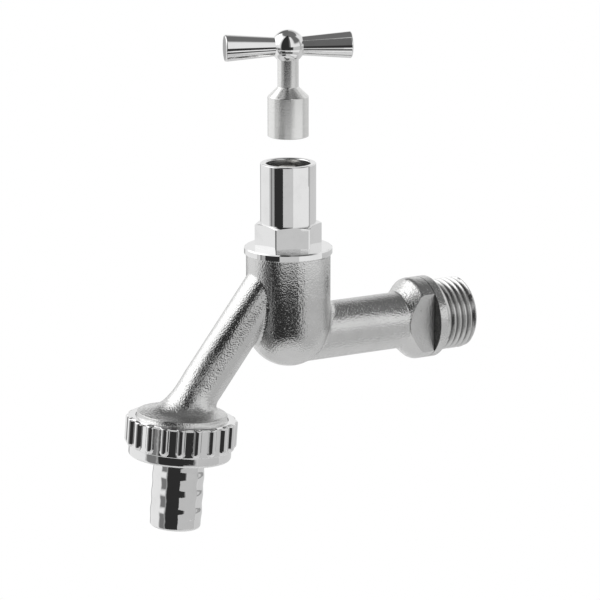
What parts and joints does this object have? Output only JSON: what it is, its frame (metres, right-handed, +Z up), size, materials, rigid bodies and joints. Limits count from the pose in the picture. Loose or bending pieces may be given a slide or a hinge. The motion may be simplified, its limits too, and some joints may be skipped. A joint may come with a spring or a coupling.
{
  "type": "loose key tap",
  "caption": "Wall-mounted hose tap with a threaded inlet, sloping spout, ribbed hose union and a guard sleeve around a square spindle worked by a loose T-shaped key.",
  "frame": {"origin": "centre of the stop ring's face on the inlet axis, where the inlet thread starts", "axes": "+X along the inlet thread into the wall, +Z up along the spindle, spout towards -X"},
  "size_m": [0.1095, 0.032, 0.1414],
  "materials": {
    "cast_satin": "blasted and satin nickel plated cast brass",
    "polished_chrome": "mirror chrome over brass",
    "turned_satin": "fine turned and satin plated brass",
    "bare_brass": "machined brass",
    "spring_steel": "stamped spring steel",
    "seal_rubber": "black rubber",
    "slip_plastic": "white low-friction plastic"
  },
  "bodies": {
    "tap": {"tap_body": "cast_satin", "bonnet": "polished_chrome", "guard_sleeve": "polished_chrome", "bonnet_gasket": "seal_rubber"},
    "spindle": {"spindle": "bare_brass", "spindle_seal_upper": "seal_rubber", "spindle_seal_lower": "seal_rubber", "thrust_washer": "slip_plastic", "spindle_circlip": "spring_steel"},
    "valve": {"valve_carrier": "bare_brass", "valve_washer": "seal_rubber", "washer_screw": "bare_brass"},
    "key": {"key_handle": "polished_chrome", "key_socket": "turned_satin"},
    "tail": {"hose_tail": "polished_chrome", "tail_washer": "seal_rubber"},
    "nut": {"union_nut": "polished_chrome"}
  },
  "joints": [
    {"name": "spindle_turn", "type": "hinge", "parent": "tap", "child": "spindle", "pos_m": [-0.047, 0, 0.03], "axis": [0, 0, 1], "range_deg": [0, 720]},
    {"name": "valve_lift", "type": "slide", "parent": "tap", "child": "valve", "axis": [0, 0, 1], "range_m": [0, 0.004]},
    {"name": "key_lift", "type": "slide", "parent": "spindle", "child": "key", "axis": [0, 0, 1], "range_m": [-0.0184, 0]},
    {"name": "tail_drop", "type": "slide", "parent": "tap", "child": "tail", "axis": [-0.0802, 0, -0.9968], "range_m": [0, 0.00544]},
    {"name": "nut_turn", "type": "hinge", "parent": "tail", "child": "nut", "pos_m": [-0.0822, 0, -0.02458], "axis": [-0.0802, 0, -0.9968], "range_deg": [0, 1080]}
  ],
  "couplings": [
    {"joint": "valve_lift", "follows": "spindle_turn", "m_per_rad": 0.00031831},
    {"joint": "tail_drop", "follows": "nut_turn", "m_per_rad": 0.00028871}
  ]
}
